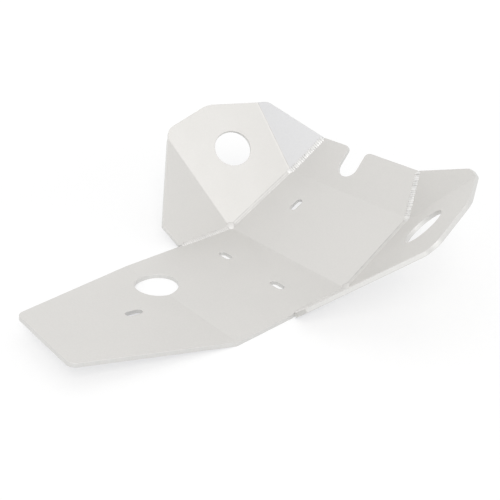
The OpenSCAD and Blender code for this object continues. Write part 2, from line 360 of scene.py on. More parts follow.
ROLLED_SHEET = MetalFinish(
    name="rolled_sheet",
    colour=(0.70, 0.69, 0.672),
    roughness=0.65,
    grains=(
        Grain((26.0,) * 3, 4.0, 0.012, 0.03),
        Grain((60.0, 900.0, 900.0), 3.0, 0.012, 0.03),
        Grain((700.0,) * 3, 2.0, 0.02, 0.02),
    ),
    bump_scale=(350.0, 1400.0, 1400.0),
    bump=0.00002,
)
# Painted shade: a darker strip along a fold, standing in for the shade at the bend.
PAINTED_SHADE_LINE = MetalFinish(
    name="pressed_line",
    colour=(0.60, 0.59, 0.575),
    roughness=0.6,
    grains=(Grain((160.0,) * 3, 3.0, 0.1, 0.05),),
    bump_scale=(700.0,) * 3,
    bump=0.00004,
)
# Painted highlight: a lighter strip along a fold, standing in for the light caught at the bend.
PAINTED_HIGHLIGHT_LINE = MetalFinish(
    name="rubbed_line",
    colour=(0.80, 0.79, 0.775),
    roughness=0.6,
    grains=(Grain((220.0,) * 3, 3.0, 0.1, 0.05),),
    bump_scale=(700.0,) * 3,
    bump=0.00004,
)
# A cooler, slightly darker and more mottled tone than the rolled sheet, laid on the left front
# facet only.
COOLER_TONE_SHEET = MetalFinish(
    name="cooler_tone_sheet",
    colour=(0.665, 0.665, 0.67),
    roughness=0.64,
    grains=(Grain((45.0,) * 3, 3.0, 0.025, 0.03), Grain((500.0,) * 3, 3.0, 0.03, 0.03)),
    bump_scale=(350.0, 1400.0, 1400.0),
    bump=0.00002,
)
CUT_EDGE = MetalFinish(
    name="cut_edge",
    colour=(0.72, 0.715, 0.7),
    roughness=0.6,
    grains=(Grain((1300.0, 1300.0, 150.0), 2.0, 0.04, 0.06),),
    bump_scale=(1500.0, 1500.0, 180.0),
    bump=0.00005,
)
# Weld metal of the front beads: smoother than the rear beads', and its lighter colour is partly a
# painted highlight.
BRIGHT_WELD_PAINTED_HIGHLIGHT = MetalFinish(
    name="bright_weld_painted_highlight",
    colour=(0.77, 0.765, 0.755),
    roughness=0.55,
    grains=(Grain((170.0,) * 3, 2.0, 0.1, 0.05), Grain((450.0,) * 3, 3.0, 0.1, 0.1)),
    bump_scale=(900.0,) * 3,
    bump=0.0001,
)
DULL_WELD = MetalFinish(
    name="dull_weld",
    colour=(0.715, 0.705, 0.69),
    roughness=0.62,
    grains=(Grain((110.0,) * 3, 2.0, 0.06, 0.05), Grain((450.0,) * 3, 3.0, 0.05, 0.1)),
    bump_scale=(900.0,) * 3,
    bump=0.0001,
)


@dataclass
class FoldedSheet:
    """The laser-cut sheet with its folds, holes, slots and notch. Millimetres and degrees."""

    sheet_t: float = 4.0
    foot_bend_r: float = 6.5
    cross_bend_r: float = 8.0
    wing_bend_r: float = 5.0
    middle_len: float = 131.0
    middle_half_w: float = 81.0
    rear_seam_len: float = 67.0
    tail_len: float = 128.0
    tail_end_half_w: float = 42.5
    tail_rise: float = 8.2
    tail_corner_r: float = 8.0
    centre_len: float = 97.0
    centre_rise: float = 27.0
    centre_front_half_w: float = 80.0
    nose_len: float = 48.6
    nose_rise: float = 48.4
    nose_end_half_w: float = 63.0
    wing_tilt: float = 42.4
    rear_fold_dir: float = 79.8
    rear_fold_len: float = 115.6
    front_fold_dir: float = 69.5
    front_fold_len: float = 85.0
    rear_corner: Triple = (27.8, 124.4, 14.0)
    top_corner: Triple = (81.2, 116.7, 30.0)
    tip: Triple = (31.6, 74.5, 16.0)
    kink: tuple[float, float] = (-6.0, 26.2)
    corner_relief: float = 1.0
    wing_hole: Triple = (66.7, 61.7, 40.0)
    drain_hole: Triple = (1.4, 33.0, 40.0)
    slot_len: float = 16.0
    slot_w: float = 7.5
    tail_slot_back: float = 45.0
    pair_slots: tuple[float, float] = (44.0, 36.8)
    centre_slot: tuple[float, float] = (60.0, 37.4)
    notch_w: float = 23.0
    notch_depth: float = 32.5
    notch_left: float = 14.0
    notch_lip_r: float = 5.5
    seam_gap: float = 0.8
    front_weld_leg: float = 3.7
    rear_weld_leg: float = 3.3
    weld_crown: float = 0.5
    front_pool_d: float = 7.5
    rear_pool_d: float = 9.5
    pool_h: float = 0.35
    front_weld_short: float = 1.0
    rear_weld_short: float = 1.5
    # Width of the strips beside the folds that carry the painted shade and highlight, and their
    # largest share of a fold.
    painted_line_w: float = 1.2
    most_painted_line: float = 0.3
    fold_step: float = 2.6
    least_fold_steps: int = 5
    round_steps: int = 16
    notch_steps: int = 32
    hole_steps: int = 96
    edge_break: float = 0.35
    edge_angle: float = 40.0
    merge_reach: float = 0.002

    def __post_init__(self) -> None:
        """Work out the points that the panels and the seams share."""
        front_x = self.centre_len * cosd(self.centre_rise)
        front_z = self.centre_len * sind(self.centre_rise)
        self.tail_fold = np.array([-self.middle_len, self.middle_half_w, 0.0])
        self.tail_end = np.array([
            -self.middle_len - self.tail_len * cosd(self.tail_rise),
            self.tail_end_half_w,
            self.tail_len * sind(self.tail_rise),
        ])
        self.front_fold = np.array([0.0, self.middle_half_w, 0.0])
        self.nose_fold = np.array([front_x, self.centre_front_half_w, front_z])
        self.nose_end = np.array([
            front_x + self.nose_len * cosd(self.nose_rise),
            self.nose_end_half_w,
            front_z + self.nose_len * sind(self.nose_rise),
        ])
        self.seam_start = np.array([-self.rear_seam_len, self.middle_half_w, 0.0])
        self.tail_n = np.array([sind(self.tail_rise), 0.0, cosd(self.tail_rise)])
        self.centre_n = np.array([-sind(self.centre_rise), 0.0, cosd(self.centre_rise)])
        self.nose_n = np.array([-sind(self.nose_rise), 0.0, cosd(self.nose_rise)])
        self.foot = unit(self.nose_fold - self.front_fold)
        self.foot_len = float(np.linalg.norm(self.nose_fold - self.front_fold))
        self.outward = np.cross(self.centre_n, self.foot)
        self.wing_up = self.outward * cosd(self.wing_tilt) + self.centre_n * sind(self.wing_tilt)
        self.wing_n = np.cross(self.foot, self.wing_up)
        self.foot_setback = setback(self.foot_bend_r, self.wing_tilt)
        self.rear_foot = self.on_wing(0.0, self.foot_setback)
        self.front_foot = self.on_wing(self.foot_len, self.foot_setback)
        self.rear_top = self.rear_foot + self.fold_run(self.rear_fold_len, self.rear_fold_dir)
        self.front_top = self.front_foot + self.fold_run(self.front_fold_len, self.front_fold_dir)
        self.rear_n = unit(
            np.cross(self.rear_foot - self.seam_start, self.rear_top - self.seam_start)
        )
        self.front_n = unit(
            np.cross(self.nose_end - self.front_foot, self.front_top - self.front_foot)
        )
        self.rear_seam = unit(self.rear_foot - self.seam_start)
        self.front_seam = unit(self.nose_end - self.front_foot)
        rear_most = self.tail_end[0] - self.sheet_t * self.tail_n[0]
        front_most = self.nose_end[0] - self.sheet_t * self.nose_n[0]
        self.to_origin = np.array([-(rear_most + front_most) / 2, 0.0, self.sheet_t])

    def on_wing(self, along: float, up: float) -> Point:
        """Return the point on the left wing's inner face, along its foot and up from it."""
        return self.front_fold + self.foot * along + self.wing_up * up

    def fold_run(self, length: float, direction: float) -> Point:
        """Return a fold's run on the wing, from its length and its direction off the foot."""
        return length * (self.foot * cosd(direction) + self.wing_up * sind(direction))

    def fold_foot(self, low: Point, top: Point, on_panel: Point, normal: Point) -> Point:
        """Run a wing's fold on below its foot, to the plane of a panel of the strip.

        Args:
            low: Lower end of the fold.
            top: Upper end of the fold.
            on_panel: A point on the panel.
            normal: The panel's normal.

        Returns:
            The point where the fold's line meets the plane.
        """
        run = unit(top - low)
        return low - run * float((low - on_panel) @ normal) / float(run @ normal)

    def fold_start(self, corner: Point, low: Point, top: Point) -> Point:
        """Return the lower end of a wing's fold on the face beside it, above its own corner."""
        run = unit(top - low)
        return corner + run * max(float((low - corner) @ run), self.corner_relief)

    def rounded(
        self, points: list[Point], radii: list[float], free: list[bool]
    ) -> tuple[list[Point], list[bool]]:
        """Round the corners of an outline.

        Args:
            points: Corners of the outline.
            radii: Radius at each corner, 0 where it stays sharp.
            free: Whether the edge after each corner is a free edge.

        Returns:
            The corners and their marks with the roundings put in.
        """
        corners: list[Point] = []
        marks: list[bool] = []
        count = len(points)
        for i, (p, radius) in enumerate(zip(points, radii)):
            if not radius:
                corners.append(p)
                marks.append(free[i])
                continue
            a, b = unit(points[i - 1] - p), unit(points[(i + 1) % count] - p)
            half = math.acos(float(a @ b)) / 2
            centre = p + unit(a + b) * radius / math.sin(half)
            start = p + a * radius / math.tan(half) - centre
            end = p + b * radius / math.tan(half) - centre
            turn = math.pi - 2 * half
            for k in np.linspace(0, 1, self.round_steps + 1):
                lift = start * math.sin(turn * (1 - k)) + end * math.sin(turn * k)
                corners.append(centre + lift / math.sin(turn))
                marks.append(True)
            marks[-1] = free[i]
        return corners, marks

    def panel(
        self,
        points: list[Point],
        radii: list[float],
        free: list[bool],
        normal: Point,
        finish: Finish = Finish.ROLLED,
    ) -> Cell:
        """Make the cell of a flat panel.

        Args:
            points: Corners on the inner surface.
            radii: Radius at each corner.
            free: Whether the edge after each corner is a free edge.
            normal: Unit normal of the inner surface.
            finish: Finish of the inner surface.

        Returns:
            The cell.
        """
        inner, marks = self.rounded(points, radii, free)
        return Cell(inner, [p - normal * self.sheet_t for p in inner], marks, finish)

    def fold(
        self,
        line: tuple[Point, Point],
        normals: tuple[Point, Point],
        radius: float,
        behind: tuple[Point, Point],
        ahead: tuple[Point, Point],
        marks: tuple[Finish, Finish] = (Finish.ROLLED, Finish.ROLLED),
    ) -> list[Cell]:
        """Make the cells of a fold.

        Args:
            line: Two points on the line where the panels' inner faces would meet.
            normals: Normals of the panel behind the fold and of the one ahead of it.
            radius: Inside radius of the fold.
            behind: The ends of the fold on the panel behind.
            ahead: The ends of the fold on the panel ahead.
            marks: Finish of the narrow strip at each side of the fold; these strips carry the
                painted shade and painted highlight.

        Returns:
            The cells, from behind to ahead.
        """
        start, end = line
        n1, n2 = normals
        run = unit(end - start)
        away = np.cross(n1, run)
        angle = angle_between(n1, n2)
        centre = start + away * setback(radius, angle) + n1 * radius
        steps = max(self.least_fold_steps, round(angle / self.fold_step))
        strip = min(self.most_painted_line, self.painted_line_w / (radius * math.radians(angle)))
        shares = [0.0, *np.linspace(strip, 1 - strip, steps - 1), 1.0]
        rows = []
        for i, k in enumerate(shares):
            n = n2 if i == steps else n1 * cosd(angle * k) + away * sind(angle * k)
            row = []
            for a, b in zip(behind, ahead):
                if i in (0, steps):
                    inner = a if i == 0 else b
                    row.append((inner, inner - n * self.sheet_t))
                else:
                    along = between(a, b, k) @ run - centre @ run
                    spot = centre + run * along
                    row.append((spot - n * radius, spot - n * (radius + self.sheet_t)))
            rows.append(row)
        cells = []
        for low, high in zip(rows, rows[1:]):
            ring = [high[0], high[1], low[1], low[0]]
            cells.append(
                Cell([p[0] for p in ring], [p[1] for p in ring], [False, True, False, True])
            )
        cells[0].finish, cells[-1].finish = marks
        return cells

    def cells(self) -> list[Cell]:
        """Lay out every cell of the sheet, and keep the rings round the left side's reliefs.

        Returns:
            The cells of the strip and of both wings.
        """
        tail_back = setback(self.cross_bend_r, self.tail_rise)
        middle_back = setback(self.cross_bend_r, self.centre_rise)
        nose_back = setback(self.cross_bend_r, self.nose_rise - self.centre_rise)
        rear_back = setback(self.wing_bend_r, angle_between(self.rear_n, self.wing_n))
        front_back = setback(self.wing_bend_r, angle_between(self.wing_n, self.front_n))
        r = right_of
        tail = moved_edges(
            [self.tail_end, r(self.tail_end), r(self.tail_fold), self.tail_fold],
            self.tail_n, [0, 0, tail_back, 0],
        )
        middle = moved_edges(
            [self.tail_fold, r(self.tail_fold), r(self.front_fold), self.front_fold],
            UP, [tail_back, 0, middle_back, 0],
        )
        rear_in = self.front_fold - self.outward * self.foot_setback
        front_in = self.nose_fold - self.outward * self.foot_setback
        centre = moved_edges(
            [rear_in, r(rear_in), r(front_in), front_in],
            self.centre_n, [middle_back, 0, nose_back, 0],
        )
        gap = self.seam_gap
        nose = moved_edges(
            [self.nose_fold, r(self.nose_fold), r(self.nose_end), self.nose_end],
            self.nose_n, [nose_back, gap, 0, gap],
        )
        along, up, rear_r = self.rear_corner
        rear_corner = self.on_wing(along, up)
        along, up, top_r = self.top_corner
        top_corner = self.on_wing(along, up)
        wing = moved_edges(
            [self.rear_foot, self.front_foot, self.front_top, top_corner, rear_corner,
             self.rear_top],
            self.wing_n, [0, front_back, 0, 0, 0, rear_back],
        )
        along, up, tip_r = self.tip
        tip = (
            self.front_foot + self.front_seam * along
            + np.cross(self.front_n, self.front_seam) * up
        )
        front_low = self.fold_foot(self.front_foot, self.front_top, self.nose_end, self.nose_n)
        front = moved_edges(
            [front_low, self.nose_end, tip, self.front_top],
            self.front_n, [gap, 0, 0, front_back],
        )
        front.append(self.fold_start(front[0], self.front_foot, self.front_top))
        along, up = self.kink
        kink = (
            self.seam_start + self.rear_seam * along
            + np.cross(self.rear_n, self.rear_seam) * up
        )
        rear_low = self.fold_foot(self.rear_foot, self.rear_top, self.seam_start, UP)
        rear = moved_edges(
            [self.seam_start, rear_low, self.rear_top, kink],
            self.rear_n, [gap, rear_back, 0, 0],
        )
        rear.insert(2, self.fold_start(rear[1], self.rear_foot, self.rear_top))
        starts = [(p - self.front_fold) @ self.foot for p in (centre[0], wing[0])]
        ends = [(p - self.front_fold) @ self.foot for p in (centre[3], wing[1])]
        reach = (max(starts) + self.corner_relief, min(ends) - self.corner_relief)
        wing_side = [self.on_wing(a, self.foot_setback) for a in reach]
        centre_side = [
            self.front_fold + self.foot * a - self.outward * self.foot_setback for a in reach
        ]
        yes, no = True, False
        strip = [
            self.panel(tail, [self.tail_corner_r, self.tail_corner_r, 0, 0],
                       [yes, yes, no, yes], self.tail_n),
            self.panel(middle, [0] * 4, [no, yes, no, yes], UP),
            self.panel(
                [centre[0], centre[1], r(centre_side[0]), r(centre_side[1]),
                 centre[2], centre[3], centre_side[1], centre_side[0]],
                [0] * 8, [no, yes, no, yes, no, yes, no, yes], self.centre_n,
            ),
            self.panel(nose, [0] * 4, [no, yes, yes, yes], self.nose_n),
            *self.fold((r(self.tail_fold), self.tail_fold), (self.tail_n, UP),
                       self.cross_bend_r, (tail[2], tail[3]), (middle[1], middle[0])),
            *self.fold((r(self.front_fold), self.front_fold), (UP, self.centre_n),
                       self.cross_bend_r, (middle[2], middle[3]), (centre[1], centre[0])),
            *self.fold((r(self.nose_fold), self.nose_fold), (self.centre_n, self.nose_n),
                       self.cross_bend_r, (centre[2], centre[3]), (nose[1], nose[0])),
        ]
        wings = [
            self.panel([wing[0], *wing_side, *wing[1:]], [0, 0, 0, 0, 0, top_r, rear_r, 0],
                       [yes, no, yes, no, yes, yes, yes, no], self.wing_n),
            # The left front facet takes the cooler tone; its mirror image stays plain.
            self.panel(front, [0, 0, tip_r, 0, 0], [yes, yes, yes, no, yes], self.front_n,
                       Finish.COOLER_TONE),
            self.panel(rear, [0] * 5, [yes, yes, no, yes, yes], self.rear_n),
            # The foot fold: painted shade on the wing side, painted highlight on the centre side;
            # the right side swaps them.
            *self.fold((self.front_fold, self.nose_fold), (self.wing_n, self.centre_n),
                       self.foot_bend_r, tuple(wing_side), tuple(centre_side),
                       (Finish.PRESSED, Finish.RUBBED)),
            *self.fold((self.rear_foot, self.rear_top), (self.rear_n, self.wing_n),
                       self.wing_bend_r, (rear[2], rear[3]), (wing[0], wing[5])),
            # The front wing fold: a painted shade strip on the front facet side, on the left only.
            *self.fold((self.front_foot, self.front_top), (self.wing_n, self.front_n),
                       self.wing_bend_r, (wing[1], wing[2]), (front[4], front[3]),
                       (Finish.ROLLED, Finish.PAINTED_CREASE_SHADE)),
        ]
        self.reliefs = {
            Corner.FRONT: [wing_side[1], centre_side[1], nose[0], front[4]],
            Corner.REAR: [wing_side[0], centre_side[0], middle[3], rear[2]],
        }
        return strip + wings + [cell.mirrored() for cell in wings]

    def shell(self) -> bpy.types.Object:
        """Join the cells into one closed mesh.

        Returns:
            The sheet before its holes are cut.
        """
        work = bmesh.new()

        def face(points: list[Point], kind: int) -> None:
            """Add one face with its own corners and its material slot."""
            corners = [work.verts.new(Vector((p + self.to_origin) * MM)) for p in points]
            work.faces.new(corners).material_index = kind

        for cell in self.cells():
            face(cell.inner, cell.finish.value)
            face(cell.outer[::-1], Finish.ROLLED.value)
            count = len(cell.inner)
            for i, free in enumerate(cell.free):
                if free:
                    j = (i + 1) % count
                    ring = [cell.inner[i], cell.outer[i], cell.outer[j], cell.inner[j]]
                    face(ring, Finish.CUT.value)
        bmesh.ops.remove_doubles(work, verts=work.verts, dist=self.merge_reach * MM)
        return as_object(work, "sheet_shell")

    def notch_outline(self) -> list[Point]:
        """Draw the notch with its mouth at X = 0, its lips rounded.

        Returns:
            The outline, anticlockwise.
        """
        half, lip = self.notch_w / 2, self.notch_lip_r
        return [
            *arc(np.array([-self.notch_depth + half, 0.0]), half, 90, 270, self.notch_steps),
            *arc(np.array([-lip, -half - lip]), lip, 90, 0, self.round_steps),
            np.array([lip, -half - lip]),
            np.array([lip, half + lip]),
            *arc(np.array([-lip, half + lip]), lip, 360, 270, self.round_steps),
        ]

    def slot_outline(self) -> list[Point]:
        """Return the outline of a bolt slot with its length along X, anticlockwise."""
        end, radius = (self.slot_len - self.slot_w) / 2, self.slot_w / 2
        return [
            *arc(np.array([end, 0.0]), radius, -90, 90, self.round_steps),
            *arc(np.array([-end, 0.0]), radius, 90, 270, self.round_steps),
        ]

    def cutters(self) -> bpy.types.Object:
        """Make the holes, slots, notch and seam clearances as one mesh of separate prisms.

        Returns:
            The cutters.
        """
        work = bmesh.new()
        half = 2 * self.sheet_t

        def cut(outline: list[Point], place: np.ndarray) -> None:
            """Add a prism through the sheet from a flat outline."""
            rings = []
            for z in (-half, half):
                ring = [(place @ np.array([p[0], p[1], z, 1.0]))[:3] for p in outline]
                rings.append([work.verts.new(Vector((p + self.to_origin) * MM)) for p in ring])
            low, high = rings
            work.faces.new(high)
            work.faces.new(low[::-1])
            for i in range(len(low)):
                j = (i + 1) % len(low)
                work.faces.new([low[i], low[j], high[j], high[i]])

        def disc(diameter: float) -> list[Point]:
            """Return the outline of a round hole."""
            return arc(np.zeros(2), diameter / 2, 0, 360, self.hole_steps)[:-1]

        along, up, wide = self.wing_hole
        spot = self.on_wing(along, up)
        for place, normal in ((spot, self.wing_n), (right_of(spot), right_of(self.wing_n))):
            cut(disc(wide), stand(place, unit(np.cross([0.0, 1.0, 0.0], normal)), normal))
        ahead, left, wide = self.drain_hole
        east = np.array([1.0, 0.0, 0.0])
        north = np.array([0.0, 1.0, 0.0])
        cut(disc(wide), stand(np.array([ahead - self.middle_len, left, 0.0]), east, UP))
        down_tail = np.array([-cosd(self.tail_rise), 0.0, sind(self.tail_rise)])
        tail_spot = np.array([-self.middle_len, 0.0, 0.0]) + down_tail * self.tail_slot_back
        cut(self.slot_outline(), stand(tail_spot, down_tail, self.tail_n))
        back, space = self.pair_slots
        for side in Side:
            cut(self.slot_outline(), stand(np.array([-back, side.value * space, 0.0]), north, UP))
        ahead, left = self.centre_slot
        up_centre = np.array([cosd(self.centre_rise), 0.0, sind(self.centre_rise)])
        cut(self.slot_outline(),
            stand(up_centre * ahead + north * left, up_centre, self.centre_n))
        up_nose = np.array([cosd(self.nose_rise), 0.0, sind(self.nose_rise)])
        mouth = np.array([self.nose_end[0], self.notch_left, self.nose_end[2]])
        cut(self.notch_outline(), stand(mouth, up_nose, self.nose_n))
        reach = setback(self.cross_bend_r, self.centre_rise)
        gap = self.seam_gap
        for side in Side:
            low, high = sorted(side.value * (self.middle_half_w + d) for d in (-gap, gap / 2))
            box = [(-self.rear_seam_len, low), (reach, low), (reach, high),
                   (-self.rear_seam_len, high)]
            cut([np.array(p) for p in box], np.eye(4))
        for one in work.faces:
            one.material_index = Finish.CUT.value
        return as_object(work, "sheet_cutters")

    def build(self) -> bpy.types.Object:
        """Fold and cut the sheet, break its edges and dress it.

        Returns:
            The finished sheet.
        """
        shell, cutters = self.shell(), self.cutters()
        for one in (shell, cutters):
            for finish in Finish:
                one.data.materials.append(SHEET_MATERIALS[finish])
        cut = shell.modifiers.new("cut", "BOOLEAN")
        cut.operation, cut.solver, cut.object = "DIFFERENCE", "EXACT", cutters
        plate = baked(shell, "plate")
        bpy.data.objects.remove(cutters)
        for one in plate.data.polygons:
            one.use_smooth = True
        bevel = plate.modifiers.new("edge", "BEVEL")
        bevel.width = self.edge_break * MM
        bevel.segments = 2
        bevel.limit_method = "ANGLE"
        bevel.angle_limit = math.radians(self.edge_angle)
        bevel.use_clamp_overlap = False
        even = plate.modifiers.new("even", "WEIGHTED_NORMAL")
        even.keep_sharp = True
        even.weight = 100
        return baked(plate, "skid_plate_sheet")

    def seam(self, corner: Corner, side: Side) -> "Seam":
        """Work out where a weld bead lies.

        Args:
            corner: Which corner of the side.
            side: Which side.

        Returns:
            The seam, in metres.
        """
        if corner is Corner.FRONT:
            outer, inner = self.nose_end, between(self.front_foot, self.nose_fold, 0.5)
            n1, n2, bare = self.nose_n, self.front_n, self.front_weld_short
            leg, pool_d = self.front_weld_leg, self.front_pool_d
        else:
            outer, inner = self.seam_start, between(self.rear_foot, self.front_fold, 0.5)
            n1, n2, bare = UP, self.rear_n, self.rear_weld_short
            leg, pool_d = self.rear_weld_leg, self.rear_pool_d
        line = unit(np.cross(n1, n2))
        along = line * math.copysign(1.0, float(line @ (inner - outer)))
        out = unit(n1 + n2)
        ring = self.reliefs[corner]
        pool = sum(ring) / len(ring)
        over = unit(np.cross(ring[2] - ring[0], ring[3] - ring[1]))
        end = outer + along * float(along @ (pool - outer))
        points = [outer + along * bare, end, pool]
        ways = [out, over]
        if side is Side.RIGHT:
            points, ways = [right_of(p) for p in points], [right_of(p) for p in ways]
        half = math.radians(180 - angle_between(n1, n2)) / 2
        return Seam(
            *(Vector((p + self.to_origin) * MM) for p in points),
            *(Vector(p) for p in ways),
            half_width=leg * math.sin(half) * MM,
            height=(leg * math.cos(half) + self.weld_crown) * MM,
            pool_radius=pool_d / 2 * MM,
            pool_height=self.pool_h * MM,
        )


@dataclass(frozen=True)
class Seam:
    """Where a weld bead lies. Metres.

    Attributes:
        start: The bead's outer end, in the corner of the two faces.
        end: Its inner end.
        pool: Middle of the pool over the relief at the inner end.
        out: Direction out of the corner.
        over: Direction out of the pool.
        half_width: Half of the bead's width.
        height: Height of the bead over the corner.
        pool_radius: Radius of the pool.
        pool_height: Height of the pool.
    """

    start: Vector
    end: Vector
    pool: Vector
    out: Vector
    over: Vector
    half_width: float
    height: float
    pool_radius: float
    pool_height: float


@dataclass
class WeldBead:
    """A low bead of overlapping ripples along one seam, with a pool at its inner end. Metres.

    Attributes:
        name: Name of the piece.
        seam: Where the bead lies.
        metal: Material of the bead.
        seed: Seed of its unevenness.
        pitch: Distance from one ripple to the next.
        thickness: Half of a ripple's length along the bead.
        lean: Tilt of the ripples in degrees.
        spill: Half of a ripple's width as a share of the bead's half width.
        pool_sink: How deep the pool's middle lies, in heights of the pool.
        least: Smallest random share of a ripple's height, width and length.
        most: Largest random share of them.
        facets: Segments and rings of a ripple.
    """

    name: str
    seam: Seam
    metal: bpy.types.Material
    seed: int
    pitch: float = 2.4 * MM
    thickness: float = 2.1 * MM
    lean: float = 24.0
    spill: float = 1.3
    pool_sink: float = 2.0
    least: Triple = (0.72, 0.82, 0.8)
    most: Triple = (1.0, 1.0, 1.1)
    facets: tuple[int, int] = (24, 14)

    def tree(self) -> Tree:
        """Build the Geometry Nodes tree that lays the ripples and the pool.

        Returns:
            The tree, with named inputs for the bead's sizes.
        """
        tree = bpy.data.node_groups.new(f"{self.name}_ripples", "GeometryNodeTree")
        face = tree.interface
        for kind, names in {
            "Geometry": ("Geometry",),
            "Vector": ("Start", "End", "Pool", "Out", "Over", "Ripple Size", "Pool Size"),
            "Float": ("Ripple Pitch", "Ripple Lean"),
            "Int": ("Seed",),
            "Material": ("Finish",),
        }.items():
            for name in names:
                face.new_socket(name=name, in_out="INPUT", socket_type=f"NodeSocket{kind}")
        face.new_socket(name="Geometry", in_out="OUTPUT", socket_type="NodeSocketGeometry")
        given = add_node(tree, "NodeGroupInput").outputs
        line = add_node(tree, "GeometryNodeCurvePrimitiveLine",
                        {"Start": given["Start"], "End": given["End"]})
        steps = add_node(tree, "GeometryNodeResampleCurve", {
            "Curve": line.outputs["Curve"], "Length": given["Ripple Pitch"],
        }, mode="LENGTH")
        segments, rings = self.facets
        ripple = add_node(tree, "GeometryNodeMeshUVSphere",
                          {"Segments": segments, "Rings": rings, "Radius": 1.0})
        tangent = add_node(tree, "GeometryNodeInputTangent")
        stood = self.turned(tree, "Z", tangent.outputs["Tangent"], None)
        faced = self.turned(tree, "X", given["Out"], stood)
        radians = add_node(tree, "ShaderNodeMath", {0: given["Ripple Lean"]}, operation="RADIANS")
        axis = add_node(tree, "ShaderNodeCombineXYZ", {"Y": radians.outputs[0]})
        as_turn = add_node(tree, "FunctionNodeEulerToRotation", {"Euler": axis.outputs["Vector"]})
        leaned = add_node(tree, "FunctionNodeRotateRotation", {
            "Rotation": faced, "Rotate By": as_turn.outputs["Rotation"],
        }, rotation_space="LOCAL")
        uneven = add_node(tree, "FunctionNodeRandomValue", {
            "Min": self.least, "Max": self.most, "Seed": given["Seed"],
        }, data_type="FLOAT_VECTOR")
        size = add_node(tree, "ShaderNodeVectorMath", {
            0: given["Ripple Size"], 1: uneven.outputs["Value"],
        }, operation="MULTIPLY")
        laid = add_node(tree, "GeometryNodeInstanceOnPoints", {
            "Points": steps.outputs["Curve"],
            "Instance": ripple.outputs["Mesh"],
            "Rotation": leaned.outputs["Rotation"],
            "Scale": size.outputs["Vector"],
        })
        pool = add_node(tree, "GeometryNodeTransform", {
            "Geometry": ripple.outputs["Mesh"],
            "Translation": given["Pool"],
            "Rotation": self.turned(tree, "Z", given["Over"], None),
            "Scale": given["Pool Size"],
        })
        joined = add_node(tree, "GeometryNodeJoinGeometry",
                          {"Geometry": laid.outputs["Instances"]})
        tree.links.new(pool.outputs["Geometry"], joined.inputs["Geometry"])
        last = joined
        for kind in ("GeometryNodeRealizeInstances", "GeometryNodeSetShadeSmooth"):
            last = add_node(tree, kind, {"Geometry": last.outputs["Geometry"]})
        dress = add_node(tree, "GeometryNodeSetMaterial",
                         {"Geometry": last.outputs["Geometry"], "Material": given["Finish"]})
        add_node(tree, "NodeGroupOutput", {"Geometry": dress.outputs["Geometry"]})
        return tree

    def turned(self, tree: Tree, axis: str, towards: Socket, start: Socket | None) -> Socket:
        """Add a turn that points one axis along a vector.

        Args:
            tree: The tree that gets the node.
            axis: The axis to point, X or Z. X turns about Z only.
            towards: The socket with the vector.
            start: The socket with the turn before, or None.

        Returns:
            The socket with the turn.
        """
        turn = add_node(tree, "FunctionNodeAlignRotationToVector", {"Vector": towards}, axis=axis)
        if axis == "X":
            turn.pivot_axis = "Z"
        if start is not None:
            tree.links.new(start, turn.inputs["Rotation"])
        return turn.outputs["Rotation"]

    def build(self) -> bpy.types.Object:
        """Lay the bead.

        Returns:
            The bead as a plain mesh.
        """
        empty = bpy.data.objects.new(f"{self.name}_line", bpy.data.meshes.new(self.name))
        bpy.context.scene.collection.objects.link(empty)
        lay = empty.modifiers.new("ripples", "NODES")
        lay.node_group = self.tree()
        seam = self.seam
        values = {
            "Start": seam.start + (seam.end - seam.start).normalized() * self.thickness,
            "End": seam.end,
            "Pool": seam.pool - seam.over * self.pool_sink * seam.pool_height,
            "Out": seam.out,
            "Over": seam.over,
            "Ripple Size": (seam.height, seam.half_width * self.spill, self.thickness),
            "Pool Size": (
                seam.pool_radius, seam.pool_radius, (self.pool_sink + 1) * seam.pool_height
            ),
            "Ripple Pitch": self.pitch,
            "Ripple Lean": self.lean,
            "Seed": self.seed,
            "Finish": self.metal,
        }
        for item in lay.node_group.interface.items_tree:
            if item.in_out == "INPUT" and item.name in values:
                lay[item.identifier] = values[item.name]
        return baked(empty, self.name)


def as_object(work: bmesh.types.BMesh, name: str) -> bpy.types.Object:
    """Turn a bmesh into an object in the scene.

    Args:
        work: The mesh under construction, which is freed.
        name: Name of the object.

    Returns:
        The object.
    """
    mesh = bpy.data.meshes.new(name)
    work.to_mesh(mesh)
    work.free()
    made = bpy.data.objects.new(name, mesh)
    bpy.context.scene.collection.objects.link(made)
    return made


def baked(source: bpy.types.Object, name: str) -> bpy.types.Object:
    """Replace an object by a plain mesh of what its modifiers give.

    Args:
        source: The object, which is removed.
        name: Name of the new object.

    Returns:
        The new object.
    """
    graph = bpy.context.evaluated_depsgraph_get()
    mesh = bpy.data.meshes.new_from_object(source.evaluated_get(graph), depsgraph=graph)
    mesh.name = name
    bpy.data.objects.remove(source)
    made = bpy.data.objects.new(name, mesh)
    bpy.context.scene.collection.objects.link(made)
    return made


@dataclass(frozen=True)
class Lamp:
    """One soft rectangular lamp that faces the plate.

    Attributes:
        name: Name of the lamp.
        place: Where it hangs, in metres.
        size: Its width and height.
        power: Its power in watts.
    """

    name: str
    place: Triple
    size: tuple[float, float]
    power: float


